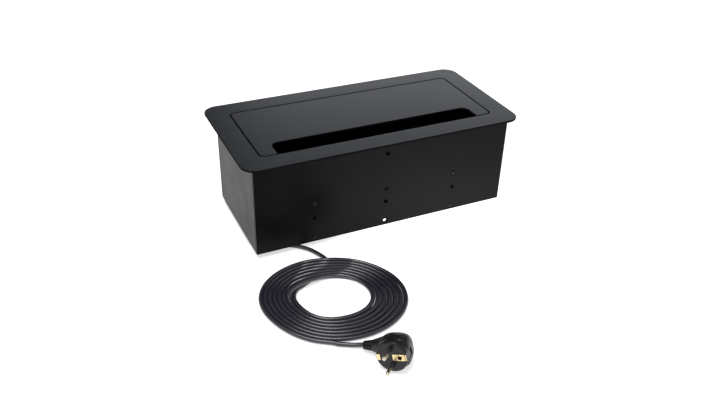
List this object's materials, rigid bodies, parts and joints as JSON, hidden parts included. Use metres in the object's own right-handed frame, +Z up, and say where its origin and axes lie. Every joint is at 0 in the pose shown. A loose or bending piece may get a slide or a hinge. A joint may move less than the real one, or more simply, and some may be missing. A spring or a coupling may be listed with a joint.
{
  "type": "desk power box",
  "caption": "In-desk power box with a flush brushed flip lid, a cable slot, a deep folded-sheet housing, a socket module and a coiled mains lead with a right-angle earthed plug.",
  "frame": {"origin": "on the surface the box stands on, under the centre of the rectangular frame", "axes": "+X along the long side of the frame, -Y the side with the cable slot and the coiled lead, +Z up"},
  "size_m": [0.4156, 0.4524, 0.1395],
  "materials": {
    "brushed_black": "brushed, black anodised, satin",
    "black_coat": "matt black powder coat, fine texture",
    "black_screw": "black oxide",
    "zinc_steel": "zinc plated",
    "steel": "ground",
    "black_plastic": "moulded, satin",
    "grey_plastic": "moulded, satin",
    "white_plastic": "moulded, matt",
    "rubber": "matt",
    "cord_sheath": "PVC sheath, satin",
    "brass": "stamped strip",
    "nickel": "nickel plated brass",
    "wire_brown": "PVC core",
    "wire_blue": "PVC core",
    "wire_green": "PVC core"
  },
  "bodies": {
    "box": {"top_frame": "brushed_black", "hinge_block_left": "black_coat", "hinge_block_right": "black_coat", "hinge_pin_left": "steel", "hinge_pin_right": "steel", "lid_rest_left": "zinc_steel", "lid_rest_right": "zinc_steel", "lid_bumper_left": "rubber", "lid_bumper_right": "rubber", "frame_nut_1": "zinc_steel", "frame_nut_2": "zinc_steel", "frame_nut_3": "zinc_steel", "frame_nut_4": "zinc_steel", "front_panel": "black_coat", "rear_panel": "black_coat", "left_panel": "black_coat", "right_panel": "black_coat", "module_channel": "black_coat", "socket_plate": "black_coat", "end_cap_left": "black_plastic", "end_cap_right": "black_plastic", "module_bracket_left": "zinc_steel", "module_bracket_right": "zinc_steel", "front_screw_left_upper": "black_screw", "front_screw_left_lower": "black_screw", "front_screw_right_upper": "black_screw", "front_screw_right_lower": "black_screw", "rear_screw_left_upper": "black_screw", "rear_screw_left_lower": "black_screw", "rear_screw_right_upper": "black_screw", "rear_screw_right_lower": "black_screw", "socket_insert_1": "black_plastic", "socket_insert_2": "black_plastic", "socket_insert_3": "black_plastic", "earth_strap_1": "brass", "earth_strap_2": "brass", "earth_strap_3": "brass", "contact_carrier": "white_plastic", "live_bar": "brass", "neutral_bar": "brass", "earth_bar": "brass", "wire_live": "wire_brown", "wire_neutral": "wire_blue", "wire_earth": "wire_green", "cord_gland": "rubber", "cord_lead": "cord_sheath", "cord_coil": "cord_sheath", "cord_tail": "cord_sheath", "plug_body": "black_plastic", "plug_pin_upper": "nickel", "plug_pin_lower": "nickel", "plug_earth_socket": "brass", "plug_earth_clip_inner": "brass", "plug_earth_clip_outer": "brass"},
    "lid": {"lid": "brushed_black"},
    "shutter_1": {"shutter_1": "grey_plastic"},
    "shutter_2": {"shutter_2": "grey_plastic"},
    "shutter_3": {"shutter_3": "grey_plastic"}
  },
  "joints": [
    {"name": "lid_hinge", "type": "hinge", "parent": "box", "child": "lid", "pos_m": [0, 0.0522, 0.1345], "axis": [-1, 0, 0], "range_deg": [0, 100]},
    {"name": "shutter_slide_1", "type": "slide", "parent": "box", "child": "shutter_1", "axis": [0, -1, 0], "range_m": [0, 0.005], "stiffness_N_per_m": 60, "springref_m": -0.002},
    {"name": "shutter_slide_2", "type": "slide", "parent": "box", "child": "shutter_2", "axis": [0, -1, 0], "range_m": [0, 0.005], "stiffness_N_per_m": 60, "springref_m": -0.002},
    {"name": "shutter_slide_3", "type": "slide", "parent": "box", "child": "shutter_3", "axis": [0, -1, 0], "range_m": [0, 0.005], "stiffness_N_per_m": 60, "springref_m": -0.002}
  ]
}
